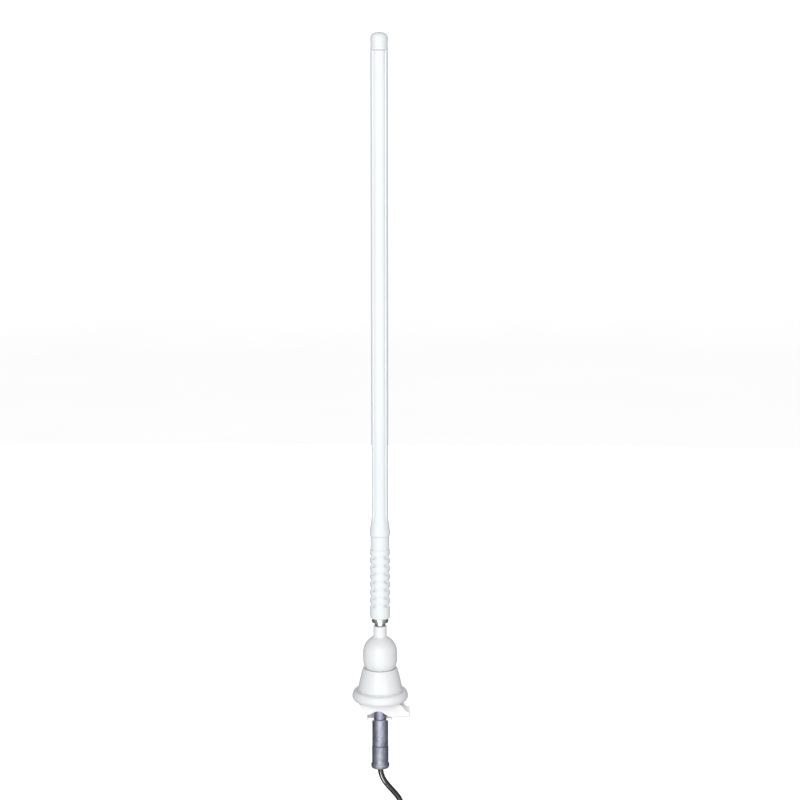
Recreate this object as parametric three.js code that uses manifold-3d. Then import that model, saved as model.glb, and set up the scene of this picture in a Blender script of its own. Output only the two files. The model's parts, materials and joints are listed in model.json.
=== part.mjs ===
// A rubber-mast radio antenna on a ball swivel, clamped through a panel hole from above.
// Millimetres, +Z up along the mast; z = 0 is the plane of the panel's upper face.
import * as THREE from "three";
import { mergeVertices } from "three/addons/utils/BufferGeometryUtils.js";
import Module from "manifold-3d";

const wasm = await Module();
wasm.setup();

// Driving dimensions
const TIP_Z = 572; // mounted height of the mast
const SLEEVE = { bottom: 146.5, top: 557.1, radius: 7.25, skirt: 9.05, bore: 3.4 };
const FLUTE = { count: 4, depth: 0.5, radius: 1.6, start: 156, middle: 161, full: 168 };
const CAP = { bottom: 557.4, radius: 7.4, spigot: 3.1 };
const BOOT = { bottom: 73.3, step: 133.5, top: 146.2, rib: 8.7, band: 8.25, bore: 5.75 };
const GROOVE = { count: 7, first: 85.2, pitch: 7.12, depth: 0.9, half: 1.35 };
const SPRING = { bottom: 88.4, top: 128, inner: 4.6, outer: 5.4 };
const ROD = { radius: 2.2, bottom: 134.3, top: 543 };
const FERRULE = { bottom: 69.3, shoulder: 73, top: 88, low: 6.9, high: 7.5, facets: 12 };
const PIVOT_Z = 36.5; // centre of the ball and axis of the tilt pin
const BALL = { radius: 14.85, inner: 12.6, band: 42.5, neck: 5.8, neckTop: 66.2 };
const COLLAR = { radius: 4.6, top: 69 };
const PIN = { radius: 2, hole: 2.3, half: 7.2 };
const EAR = { inner: 3.4, outer: 6, radius: 6 };
const EYE = { half: 2.2, radius: 5.5 };
const SEAT_RADIUS = 15.2; // spherical seat in the mouth of the bell
const BELL = { mouth: 28.7, rim: 15.3, crease: 19.9, lip: 24.3, recess: 20.9 };
const PLATE = { radius: 17, bottom: 2.6, top: 5 };
const SCREW = { count: 3, circle: 13, shank: 1.2, hole: 1.5, head: 2.4, boss: 2.6 };
const BEARING = { radius: 14.3, bottom: 16.8, top: 19.6, bore: 4.25 };
const NECK = { radius: 5, flat: 4.5, bore: 3.9, top: 11.8, hole: 5.3 };
const NUT = { flats: 14, bottom: 6.3, top: 10.3, bore: 5.25 };
const TUBE = { top: -17.4, bottom: -41.6, radius: 7, inner: 5.6, spigot: 6.3, spigotEnd: -48 };
const CAN = { top: -42, bottom: -62, radius: 7.2, lip: 7.8, inner: 6.6, hole: 4.2 };
const SADDLE = { top: -2.3, wall: 1.6, half: 8 };
const YOKE = { left: -11.5, right: 10.5, half: 7.4, bottom: -17.1, top: -14.6 };
const CABLE = { radius: 2.4, start: -44.8, sides: 8 };
const HANK = { top: -118.8, run: 73.5, outer: 19.4, inner: 14.6, half: 7.2 };
const PLUG = { top: -153.3, boot: 14, shell: 18.7, radius: 4.8, pin: 1.6, reach: 7 };
const GAP = 0.3; // left between pieces that touch

// Where the lead lies between the can and the hank, and from the hank to the plug
const TAIL_ROUTE = [
  [0, 0, CABLE.start],
  [0, 0, -50],
  [0, 0, -56],
  [0, 0, -61],
  [0.4, 0, -65.7],
  [1.6, 0.1, -70.2],
  [3.6, 0.4, -74.5],
  [5.7, 0.9, -77.6],
  [9.7, 1.9, -82.8],
  [13.7, 3.1, -87.9],
  [15.8, 3.7, -91],
  [17.8, 4.3, -95.3],
  [19, 4.7, -99.8],
  [19.4, 4.8, -104.5],
  [19.4, 4.8, -108.4],
];
const END_ROUTE = [
  [14.3, 4.7, -122.5],
  [12.9, 4.2, -127.5],
  [10.3, 3.4, -132],
  [7.1, 2.3, -136],
  [4, 1.3, -140],
  [1.6, 0.5, -144.4],
  [0.2, 0.1, -149],
  [0, 0, -153],
];

// Materials
function plastic(color, roughness = 0.45) {
  return new THREE.MeshStandardMaterial({ color, roughness, metalness: 0 });
}

function metal(color, roughness = 0.3) {
  return new THREE.MeshStandardMaterial({ color, roughness, metalness: 1 });
}

const WHITE_RUBBER = plastic(0xeef2f4, 0.5);
const WHITE_ABS = plastic(0xe8eaec, 0.35);
const WHITE_COAT = metal(0xf4f4f6, 0.4);
const CHROME = metal(0xd8dadc, 0.12);
const ZINC = metal(0xb4b6c0, 0.35);
const STEEL = metal(0x9a9ca2, 0.3);
const BRASS = metal(0xc8a860, 0.3);
const COPPER = metal(0xb87348, 0.35);
const NYLON = plastic(0xf2efe6, 0.5);
const BLACK_PVC = plastic(0x101012, 0.35);
const DARK_RUBBER = plastic(0x1a1a1c, 0.7);

// A closed mesh as a solid that can be joined and cut
function solid(geometry) {
  const bare = geometry.index ? geometry.toNonIndexed() : geometry.clone();
  bare.deleteAttribute("normal");
  bare.deleteAttribute("uv");
  const merged = mergeVertices(bare, 1e-4);
  const triVerts = new Uint32Array(merged.index.array);
  const vertProperties = merged.attributes.position.array;
  return new wasm.Manifold(new wasm.Mesh({ numProp: 3, vertProperties, triVerts }));
}

function geometryOf(body) {
  const mesh = body.getMesh();
  const geometry = new THREE.BufferGeometry();
  geometry.setAttribute("position", new THREE.BufferAttribute(mesh.vertProperties, 3));
  geometry.setIndex(new THREE.BufferAttribute(mesh.triVerts, 1));
  return geometry.toNonIndexed();
}

// A body of revolution about Z from [radius, z] pairs
function turned(profile, segments = 24) {
  const points = profile.map(([r, z]) => new THREE.Vector2(r, z));
  const onAxis = profile[0][0] === 0 && profile[profile.length - 1][0] === 0;
  if (!onAxis) points.push(points[0].clone());
  if (THREE.ShapeUtils.area(points) > 0) points.reverse();
  return new THREE.LatheGeometry(points.reverse(), segments).rotateX(Math.PI / 2);
}

// A ring or tube from z = low to z = high
function ring(inner, outer, low, high, segments = 18) {
  return turned([[inner, low], [outer, low], [outer, high], [inner, high]], segments);
}

function rod(radius, low, high, segments = 18) {
  return turned([[0, low], [radius, low], [radius, high], [0, high]], segments);
}

function box(x0, x1, y0, y1, z0, z1) {
  const size = new THREE.BoxGeometry(x1 - x0, y1 - y0, z1 - z0);
  return size.translate((x0 + x1) / 2, (y0 + y1) / 2, (z0 + z1) / 2);
}

// Points of an arc, as [across, up] pairs
function arc(cx, cz, radius, fromDegrees, toDegrees, steps) {
  const points = [];
  for (let i = 0; i <= steps; i++) {
    const a = THREE.MathUtils.degToRad(fromDegrees + ((toDegrees - fromDegrees) * i) / steps);
    points.push([cx + radius * Math.cos(a), cz + radius * Math.sin(a)]);
  }
  return points;
}

function outline(points) {
  return new THREE.Shape(points.map(([x, y]) => new THREE.Vector2(x, y)));
}

function circleHole(x, y, radius) {
  return new THREE.Path().absarc(x, y, radius, 0, Math.PI * 2, true);
}

// A round hole with two flats at y = +-flat
function flattedHole(radius, flat) {
  const a = Math.asin(flat / radius);
  const path = new THREE.Path().absarc(0, 0, radius, a, -a, true);
  return path.absarc(0, 0, radius, Math.PI + a, Math.PI - a, true);
}

// A plate standing on z = low, cut from a shape in the XY plane
function plate(shape, low, high, curveSegments = 8) {
  const settings = { depth: high - low, bevelEnabled: false, curveSegments };
  return new THREE.ExtrudeGeometry(shape, settings).translate(0, 0, low);
}

// A plate from x = left to x = right, cut from a shape in the YZ plane
function uprightPlate(shape, left, right, curveSegments = 8) {
  const settings = { depth: right - left, bevelEnabled: false, curveSegments };
  const made = new THREE.ExtrudeGeometry(shape, settings);
  made.applyMatrix4(new THREE.Matrix4().makeBasis(
    new THREE.Vector3(0, 1, 0),
    new THREE.Vector3(0, 0, 1),
    new THREE.Vector3(1, 0, 0),
  ));
  return made.translate(left, 0, 0);
}

function placed(name, geometry, material) {
  const mesh = new THREE.Mesh(geometry, material);
  mesh.name = name;
  return mesh;
}

// Base: bell, gasket, floor plate and its screws, bearing disc
function bellHousing() {
  const seat = arc(0, PIVOT_Z, SEAT_RADIUS, -41.4, -30.9, 3);
  const shell = solid(turned([
    [BELL.recess, 0],
    [BELL.lip - 1.7, 0],
    [BELL.lip - 0.7, 0.7],
    [BELL.lip - 0.1, 2],
    [BELL.lip, 3.6],
    [BELL.lip - 0.5, 5.9],
    [BELL.lip - 1.6, 7.9],
    [BELL.lip - 3, 9],
    [BELL.crease, 9.2],
    [BELL.crease - 0.5, 10.6],
    [BELL.rim, 27.9],
    [BELL.rim - 0.6, BELL.mouth],
    ...seat.reverse(),
    [11.4, BEARING.top + GAP],
    [14.6, BEARING.top + GAP],
    [16.2, 9],
    [16.2, PLATE.top + GAP],
    [PLATE.radius + GAP, PLATE.top + GAP],
    [PLATE.radius + GAP, PLATE.bottom],
    [BELL.recess, PLATE.bottom],
  ], 32));
  let bell = shell;
  for (const [x, y] of screwPlaces()) {
    const boss = turned([
      [0, 13.5], [SCREW.hole, 13.5], [SCREW.hole, 5.3], [SCREW.boss, 5.3],
      [SCREW.boss, 14.4], [0, 14.4],
    ], 16).translate(x, y, 0);
    bell = bell.add(solid(boss));
    bell = bell.subtract(solid(rod(SCREW.hole, 4, 13.5, 16).translate(x, y, 0)));
  }
  return placed("bell_housing", geometryOf(bell), WHITE_ABS);
}

function screwPlaces() {
  return Array.from({ length: SCREW.count }, (_, i) => {
    const a = Math.PI / 2 + (i * Math.PI * 2) / SCREW.count;
    return [SCREW.circle * Math.cos(a), SCREW.circle * Math.sin(a)];
  });
}

function baseGasket() {
  return placed("base_gasket", ring(16.6, 20.6, 0, 2.3, 24), DARK_RUBBER);
}

function basePlate() {
  const disc = new THREE.Shape().absarc(0, 0, PLATE.radius, 0, Math.PI * 2, false);
  disc.holes.push(flattedHole(NECK.hole, NECK.flat + GAP));
  for (const [x, y] of screwPlaces()) disc.holes.push(circleHole(x, y, SCREW.hole));
  return placed("base_plate", plate(disc, PLATE.bottom, PLATE.top, 12), ZINC);
}

function baseScrews() {
  return screwPlaces().map(([x, y], i) => {
    const profile = [
      [0, 0.9], [SCREW.head - 0.6, 0.9], [SCREW.head, 1.4], [SCREW.head, 2.3],
      [SCREW.shank, 2.3], [SCREW.shank, 12], [0, 13],
    ];
    const screw = placed(`base_screw_${i + 1}`, turned(profile, 16), STEEL);
    screw.position.set(x, y, 0);
    return screw;
  });
}

function bearingPlate() {
  const disc = ring(BEARING.bore, BEARING.radius, BEARING.bottom, BEARING.top, 32);
  return placed("bearing_plate", disc, NYLON);
}

function clampWasher() {
  return placed("clamp_washer", ring(NUT.bore, 8.5, 5.3, 6), STEEL);
}

// Nut that draws the clamp up from inside the bell
function clampNut() {
  const corner = NUT.flats / 2 / Math.cos(Math.PI / 6);
  const hexagon = arc(0, 0, corner, 0, 300, 5);
  const shape = outline(hexagon);
  shape.holes.push(circleHole(0, 0, NUT.bore));
  return placed("clamp_nut", plate(shape, NUT.bottom, NUT.top, 6), STEEL);
}

// Swivel: the post that turns in the bell and carries the tilt pin
function swivelPost() {
  const stem = solid(turned([
    [0, 2], [1.6, 2], [1.6, 13.6], [4, 13.6], [4, 14.5], [3.2, 14.5], [3.2, 15.8],
    [4, 15.8], [4, BEARING.top + GAP], [6, BEARING.top + GAP], [6, 21.5], [3, 21.5],
    [3, 30], [0, 30],
  ]));
  const head = outline([
    [-3, 27],
    [3, 27],
    ...arc(0, PIVOT_Z, EYE.radius, -52, 232, 16),
  ]);
  head.holes.push(circleHole(0, PIVOT_Z, PIN.hole));
  const eye = solid(uprightPlate(head, -EYE.half, EYE.half, 6));
  return placed("swivel_post", geometryOf(stem.add(eye)), ZINC);
}

function retainingClip() {
  const shape = outline([
    ...arc(0, 0, 6.4, -60, 240, 16),
    ...arc(0, 0, 3.5, 240, -60, 12),
  ]);
  return placed("retaining_clip", plate(shape, 14.7, 15.6), STEEL);
}

function springWasher() {
  return placed("spring_washer", ring(4.3, 6.8, 15.9, 16.5), STEEL);
}

// Foot of the mast: ball, clevis, pin, ferrule, rubber boot and spring
function ballCover() {
  const shell = solid(turned([
    ...arc(0, PIVOT_Z, BALL.radius, -90, 0, 7),
    ...arc(-0.75, BALL.band, BALL.radius + 0.75, 0, 62, 6),
    [6.2, 57],
    [BALL.neck, 58.4],
    [BALL.neck, BALL.neckTop],
    [4.2, BALL.neckTop],
    [4.2, 56],
    [6.6, 54],
    [9.4, 51.6],
    [11.6, 48],
    [BALL.inner, BALL.band],
    ...arc(0, PIVOT_Z, BALL.inner, 0, -90, 5),
  ].map(([r, z]) => [Math.abs(r) < 1e-9 ? 0 : r, z]), 28));
  const slot = rod(1, 20, 31, 20).scale(8, 10.4, 1);
  return placed("ball_cover", geometryOf(shell.subtract(solid(slot))), WHITE_ABS);
}

function ballClevis() {
  const shank = solid(turned([
    [0, 43.2], [7.2, 43.2], [7.2, 50], [3.4, 52], [3.4, 66.5], [COLLAR.radius, 66.5],
    [COLLAR.radius, COLLAR.top], [2.5, COLLAR.top], [2.5, 82], [0, 82],
  ]));
  let clevis = shank;
  for (const side of [-1, 1]) {
    const ear = outline([
      ...arc(0, PIVOT_Z, EAR.radius, 180, 360, 12),
      [3.6, 45],
      [-3.6, 45],
    ]);
    ear.holes.push(circleHole(0, PIVOT_Z, PIN.hole));
    const left = side < 0 ? -EAR.outer : EAR.inner;
    const right = side < 0 ? -EAR.inner : EAR.outer;
    clevis = clevis.add(solid(uprightPlate(ear, left, right, 6)));
  }
  return placed("ball_clevis", geometryOf(clevis), ZINC);
}

function alongX(geometry) {
  return geometry.rotateY(Math.PI / 2);
}

function pivotPin() {
  const shape = turned([
    [0, -PIN.half], [PIN.radius, -PIN.half], [PIN.radius, 6.3], [3.3, 6.3], [3.3, 7.3],
    [2.6, 7.8], [0, 7.8],
  ]);
  const pin = placed("pivot_pin", alongX(shape), STEEL);
  pin.position.z = PIVOT_Z;
  return pin;
}

function pinCap() {
  const cap = placed("pin_cap", alongX(ring(PIN.hole, 3.3, -7.2, -6.3)), STEEL);
  cap.position.z = PIVOT_Z;
  return cap;
}

function frictionWashers() {
  return [["left", -3.1], ["right", 2.5]].map(([side, x]) => {
    const washer = alongX(ring(PIN.hole, EYE.radius, x, x + 0.6));
    const mesh = placed(`friction_washer_${side}`, washer, NYLON);
    mesh.position.z = PIVOT_Z;
    return mesh;
  });
}

function mastFerrule() {
  const nut = turned([
    [0, FERRULE.bottom],
    [FERRULE.low, FERRULE.bottom],
    [FERRULE.high, FERRULE.bottom + 0.7],
    [FERRULE.high, FERRULE.shoulder],
    [0, FERRULE.shoulder],
  ], FERRULE.facets).rotateZ(Math.PI / FERRULE.facets);
  const socket = solid(rod(5.4, FERRULE.shoulder - 0.5, FERRULE.top));
  const bore = solid(rod(2.8, 60, 83));
  const made = solid(nut).add(socket).subtract(bore);
  return placed("mast_ferrule", geometryOf(made), CHROME);
}

function flexBoot() {
  const profile = [
    [BOOT.bore, BOOT.bottom],
    [BOOT.rib - 0.5, BOOT.bottom],
    [BOOT.rib, BOOT.bottom + 0.8],
  ];
  for (let i = 0; i < GROOVE.count; i++) {
    const z = GROOVE.first + i * GROOVE.pitch;
    profile.push([BOOT.rib, z - GROOVE.half]);
    profile.push([BOOT.rib - GROOVE.depth, z]);
    profile.push([BOOT.rib, z + GROOVE.half]);
  }
  profile.push([BOOT.rib, BOOT.step], [BOOT.band, BOOT.step + 0.4]);
  profile.push([BOOT.band, BOOT.top], [BOOT.bore, BOOT.top]);
  return placed("flex_boot", turned(profile, 24), WHITE_RUBBER);
}

function flexSpring() {
  const tube = ring(SPRING.inner, SPRING.outer, SPRING.bottom, SPRING.top);
  return placed("flex_spring", tube, STEEL);
}

// Whip: fluted sleeve over the conductor, with its cap
function mastSleeve() {
  let sleeve = solid(turned([
    [BOOT.bore, SLEEVE.bottom],
    [SLEEVE.skirt - 0.1, SLEEVE.bottom],
    [SLEEVE.skirt, 148.3],
    [SLEEVE.skirt - 0.2, 151],
    [8.35, 154.6],
    [7.75, 158.5],
    [7.38, 162.5],
    [SLEEVE.radius, 167],
    [SLEEVE.radius, SLEEVE.top],
    [SLEEVE.bore, SLEEVE.top],
    [SLEEVE.bore, 150.9],
    [BOOT.bore, 150.9],
  ], 24));
  const inset = FLUTE.radius - FLUTE.depth;
  const cutter = turned([
    [0, FLUTE.start], [FLUTE.radius - 1.4, FLUTE.start], [FLUTE.radius - 0.4, FLUTE.middle],
    [FLUTE.radius, FLUTE.full], [FLUTE.radius, TIP_Z], [0, TIP_Z],
  ], 24).translate(SLEEVE.radius + inset, 0, 0);
  for (let i = 0; i < FLUTE.count; i++) {
    const turn = ((i + 0.5) * Math.PI * 2) / FLUTE.count;
    sleeve = sleeve.subtract(solid(cutter.clone().rotateZ(turn)));
  }
  return placed("mast_sleeve", geometryOf(sleeve), WHITE_RUBBER);
}

function tipCap() {
  const cap = turned([
    [0, 545],
    [CAP.spigot, 545],
    [CAP.spigot, CAP.bottom],
    [CAP.radius, CAP.bottom],
    [CAP.radius, 566],
    ...arc(CAP.radius - 5, 566.5, 5, 6, 80, 4),
    [0, TIP_Z],
  ], 28);
  return placed("tip_cap", cap, WHITE_RUBBER);
}

function coreRod() {
  return placed("core_rod", rod(ROD.radius, ROD.bottom, ROD.top, 12), NYLON);
}

function radiatorBraid() {
  return placed("radiator_braid", ring(2.5, 3.1, 150.9, 540, 16), COPPER);
}

function coreFerrule() {
  const ferrule = turned([
    [0, 128.4], [5.4, 128.4], [5.4, 150.5], [2.5, 150.5], [2.5, 134], [0, 134],
  ]);
  return placed("core_ferrule", ferrule, BRASS);
}

// Clamp: threaded neck and tube, saddle, yoke, contact and cable outlet
function clampTube() {
  let tube = solid(turned([
    [NECK.bore, NECK.top],
    [NECK.bore, -20.5],
    [TUBE.inner, -21.5],
    [TUBE.inner, TUBE.spigotEnd],
    [TUBE.spigot, TUBE.spigotEnd],
    [TUBE.spigot, TUBE.bottom],
    [TUBE.radius, TUBE.bottom],
    [TUBE.radius, TUBE.top - 0.6],
    [TUBE.radius - 0.6, TUBE.top],
    [NECK.radius, TUBE.top],
    [NECK.radius, NECK.top],
  ]));
  for (const side of [-1, 1]) {
    const low = side < 0 ? -9 : NECK.flat;
    const cut = box(-9, 9, low, low + 9 - NECK.flat, -1, NECK.top + 1);
    tube = tube.subtract(solid(cut));
  }
  return placed("clamp_tube", geometryOf(tube), ZINC);
}

function clampSaddle() {
  const side = outline([
    [-18.6, SADDLE.top],
    [-12.3, -12.6],
    [-8.3, -11.6],
    [-5.4, -9.7],
    [-2, -8.7],
    [1.8, -9.6],
    [4.8, -11.8],
    [7.5, -13.9],
    [25.7, -14.2],
    [26, -9],
    [22.8, -8.5],
    [18, SADDLE.top],
  ]);
  const settings = { depth: 2 * SADDLE.half, bevelEnabled: false };
  const block = new THREE.ExtrudeGeometry(side, settings)
    .rotateX(Math.PI / 2).translate(0, SADDLE.half, 0);
  const inside = SADDLE.half - SADDLE.wall;
  const hollow = box(-30, 30, -inside, inside, -30, SADDLE.top - SADDLE.wall);
  const hole = rod(NECK.hole, -10, 0, 28);
  const made = solid(block).subtract(solid(hollow)).subtract(solid(hole));
  return placed("clamp_saddle", geometryOf(made), WHITE_COAT);
}

function clampYoke() {
  const bar = outline([
    [YOKE.left, -YOKE.half],
    [-NECK.hole, -YOKE.half],
    ...arc(0, 0, NECK.hole, 180, 0, 12),
    [NECK.hole, -YOKE.half],
    [YOKE.right, -YOKE.half],
    [YOKE.right, YOKE.half],
    [YOKE.left, YOKE.half],
  ]);
  return placed("clamp_yoke", plate(bar, YOKE.bottom, YOKE.top, 8), WHITE_COAT);
}

function neckInsulator() {
  return placed("neck_insulator", ring(2.7, 3.6, -14, 11.4), NYLON);
}

function contactSleeve() {
  const cup = turned([
    [0, -1], [1.8, -1], [1.8, 11], [2.4, 11], [2.4, -6], [0.8, -6], [0.8, -3.5],
    [0, -3.5],
  ]);
  return placed("contact_sleeve", cup, BRASS);
}

function coaxCore() {
  return placed("coax_core", rod(0.5, -8.7, -4, 10), COPPER);
}

function coaxDielectric() {
  return placed("coax_dielectric", rod(1.5, CABLE.start + GAP, -9, 12), NYLON);
}

function braidCrimp() {
  return placed("braid_crimp", ring(2.75, 3.5, -52, -44), BRASS);
}

function cableCan() {
  const can = turned([
    [CAN.inner, CAN.top],
    [CAN.radius - 0.3, CAN.top],
    [CAN.radius, CAN.top - 0.4],
    [CAN.radius, -57.8],
    [CAN.lip, -59],
    [CAN.lip, -60.9],
    [CAN.radius, CAN.bottom],
    [CAN.hole, CAN.bottom],
    [CAN.hole, -60.6],
    [CAN.inner, -60.6],
  ]);
  return placed("cable_can", can, ZINC);
}

function cableGrommet() {
  const grommet = turned([
    [2.75, -62.6], [3.7, -62.6], [3.9, -62.2], [3.9, -60.3], [6.2, -60.3], [6.2, -57.5],
    [2.75, -57.5],
  ]);
  return placed("cable_grommet", grommet, DARK_RUBBER);
}

// The lead: a tube where it hangs free, and the outer shape of its hank
function cableTube(route, steps) {
  const path = new THREE.CatmullRomCurve3(route.map((p) => new THREE.Vector3(...p)));
  const section = outline(arc(0, 0, CABLE.radius, 0, 315, CABLE.sides - 1));
  return new THREE.ExtrudeGeometry(section, { steps, bevelEnabled: false, extrudePath: path });
}

function hankRing(grow) {
  const middle = HANK.top - HANK.run / 2;
  const wide = HANK.outer + CABLE.radius + grow;
  const narrow = HANK.inner - CABLE.radius - grow;
  const half = HANK.half + grow;
  const loop = (radius) => [
    ...arc(0, HANK.top, radius, 0, 180, 10),
    ...arc(0, HANK.top - HANK.run, radius, 180, 360, 10),
  ];
  const shape = outline(loop(wide));
  shape.holes.push(new THREE.Path(loop(narrow).map(([x, y]) => new THREE.Vector2(x, y))));
  const made = new THREE.ExtrudeGeometry(shape, { depth: 2 * half, bevelEnabled: false });
  return { geometry: made.rotateX(Math.PI / 2).translate(0, half, 0), middle };
}

function cablePieces() {
  const keepOut = solid(hankRing(GAP).geometry);
  const tail = solid(cableTube(TAIL_ROUTE, 18)).subtract(keepOut);
  const end = solid(cableTube(END_ROUTE, 12)).subtract(keepOut);
  return [
    placed("cable_tail", geometryOf(tail), BLACK_PVC),
    placed("cable_hank", hankRing(0).geometry, BLACK_PVC),
    placed("cable_end", geometryOf(end), BLACK_PVC),
  ];
}

function cableTies() {
  const { middle } = hankRing(0);
  const across = (HANK.outer + HANK.inner) / 2;
  const halfX = (HANK.outer - HANK.inner) / 2 + CABLE.radius + GAP;
  const halfY = HANK.half + GAP;
  const loop = (grow) => [
    [halfX + grow, -halfY - grow],
    [halfX + grow, halfY + grow],
    [-halfX - grow, halfY + grow],
    [-halfX - grow, -halfY - grow],
  ];
  return [["left", -across], ["right", across]].map(([side, x]) => {
    const shape = outline(loop(1.1));
    shape.holes.push(new THREE.Path(loop(0).map(([a, b]) => new THREE.Vector2(a, b))));
    const tie = placed(`cable_tie_${side}`, plate(shape, -1.6, 1.6), BLACK_PVC);
    tie.position.set(x, 0, middle);
    return tie;
  });
}

// Plug on the end of the lead
function plugPieces() {
  const shellTop = PLUG.top - PLUG.boot - GAP;
  const shellEnd = shellTop - PLUG.shell;
  const boot = turned([
    [0, PLUG.top], [3.2, PLUG.top], [3.6, PLUG.top - 1], [4.5, PLUG.top - 10],
    [4.7, PLUG.top - PLUG.boot], [0, PLUG.top - PLUG.boot],
  ]);
  const shell = turned([
    [0, shellTop], [PLUG.radius - 0.4, shellTop], [PLUG.radius, shellTop - 0.6],
    [PLUG.radius, shellEnd + 0.5], [PLUG.radius - 0.4, shellEnd], [3.9, shellEnd],
    [3.9, shellTop - 2], [0, shellTop - 2],
  ]);
  const insulatorTop = shellTop - 2 - GAP;
  const insulator = ring(PLUG.pin + GAP, 3.6, insulatorTop - 8, insulatorTop);
  const pin = turned([
    [0, insulatorTop], [PLUG.pin, insulatorTop], [PLUG.pin, shellEnd - PLUG.reach + 1.2],
    [0.9, shellEnd - PLUG.reach], [0, shellEnd - PLUG.reach],
  ], 16);
  return [
    placed("plug_boot", boot, BLACK_PVC),
    placed("plug_shell", shell, CHROME),
    placed("plug_insulator", insulator, NYLON),
    placed("plug_pin", pin, BRASS),
  ];
}

const base = new THREE.Group().add(
  bellHousing(), baseGasket(), basePlate(), ...baseScrews(), bearingPlate(), clampWasher(),
);
const swivel = new THREE.Group().add(swivelPost(), retainingClip(), springWasher());
const mastFoot = new THREE.Group().add(
  ballCover(), ballClevis(), pivotPin(), pinCap(), ...frictionWashers(), mastFerrule(),
  flexBoot(), flexSpring(),
);
const whip = new THREE.Group().add(
  mastSleeve(), tipCap(), coreRod(), radiatorBraid(), coreFerrule(),
);
const clamp = new THREE.Group().add(
  clampTube(), clampSaddle(), clampYoke(), neckInsulator(), contactSleeve(), coaxCore(),
  coaxDielectric(), braidCrimp(), cableCan(), cableGrommet(), ...cablePieces(),
  ...cableTies(), ...plugPieces(),
);

const antenna = new THREE.Group().add(base, clampNut(), swivel, mastFoot, whip, clamp);
export default antenna;
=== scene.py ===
"""Looks of the rubber-mast antenna: its visible surfaces, materials, lead, light and camera.

The mast stands along +Z and is seen from -Y. Shapes are in millimetres, and MM turns them into
Blender's metres. Places that the frame settles are read from the boxes of its nodes.
"""
import json
import math

import bmesh
import bpy
from mathutils import Matrix, Vector


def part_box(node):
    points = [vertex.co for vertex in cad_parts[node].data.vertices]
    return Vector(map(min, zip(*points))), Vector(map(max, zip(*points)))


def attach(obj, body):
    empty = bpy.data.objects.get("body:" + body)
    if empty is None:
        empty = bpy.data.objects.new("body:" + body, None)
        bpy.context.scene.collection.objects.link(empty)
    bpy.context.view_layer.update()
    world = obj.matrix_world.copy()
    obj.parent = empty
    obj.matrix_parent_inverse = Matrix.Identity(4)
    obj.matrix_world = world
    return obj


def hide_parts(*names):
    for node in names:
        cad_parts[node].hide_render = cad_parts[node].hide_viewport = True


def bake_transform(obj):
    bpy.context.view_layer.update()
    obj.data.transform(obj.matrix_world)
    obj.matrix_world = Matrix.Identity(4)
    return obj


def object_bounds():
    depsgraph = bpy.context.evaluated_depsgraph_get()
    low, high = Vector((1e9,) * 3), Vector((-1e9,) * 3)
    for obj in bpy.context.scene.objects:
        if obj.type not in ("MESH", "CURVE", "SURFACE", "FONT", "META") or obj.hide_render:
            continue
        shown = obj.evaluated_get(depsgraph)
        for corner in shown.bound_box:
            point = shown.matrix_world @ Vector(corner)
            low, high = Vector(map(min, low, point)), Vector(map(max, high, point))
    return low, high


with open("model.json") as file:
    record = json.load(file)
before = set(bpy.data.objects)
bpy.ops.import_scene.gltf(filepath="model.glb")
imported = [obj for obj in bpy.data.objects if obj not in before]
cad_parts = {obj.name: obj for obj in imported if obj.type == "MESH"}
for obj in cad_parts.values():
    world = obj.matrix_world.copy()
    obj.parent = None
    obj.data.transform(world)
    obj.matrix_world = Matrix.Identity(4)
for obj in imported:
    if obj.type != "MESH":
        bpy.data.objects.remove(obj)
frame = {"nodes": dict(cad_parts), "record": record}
cad_low, cad_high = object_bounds()

MM = 0.001
TURN = 2 * math.pi
GAP = 0.3  # mm left between pieces that touch
BOX = {name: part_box(name) for name in frame["nodes"]}


def low(node):
    """Height of a node's lowest point, in mm."""
    return BOX[node][0][2] / MM


def high(node):
    """Height of a node's highest point, in mm."""
    return BOX[node][1][2] / MM


def span(node):
    return low(node), high(node)


def corners(node):
    """The two corners of a node's box, in mm."""
    return Vector(BOX[node][0]) / MM, Vector(BOX[node][1]) / MM


# ---------------------------------------------------------------- camera
LENS = 84.6
PITCH = math.radians(9)  # how far the camera looks down
DISTANCE = 1.6004  # m
AIM = Vector((0.0173, 0, 0.2644))  # m


def make_camera():
    data = bpy.data.cameras.new("camera")
    data.lens = LENS
    data.clip_start = 0.05
    data.clip_end = 60
    camera = bpy.data.objects.new("camera", data)
    back = Vector((0, -math.cos(PITCH), math.sin(PITCH)))
    camera.location = AIM + back * DISTANCE
    camera.rotation_euler = (math.pi / 2 - PITCH, 0, 0)
    bpy.context.scene.collection.objects.link(camera)
    bpy.context.scene.camera = camera


make_camera()


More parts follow.
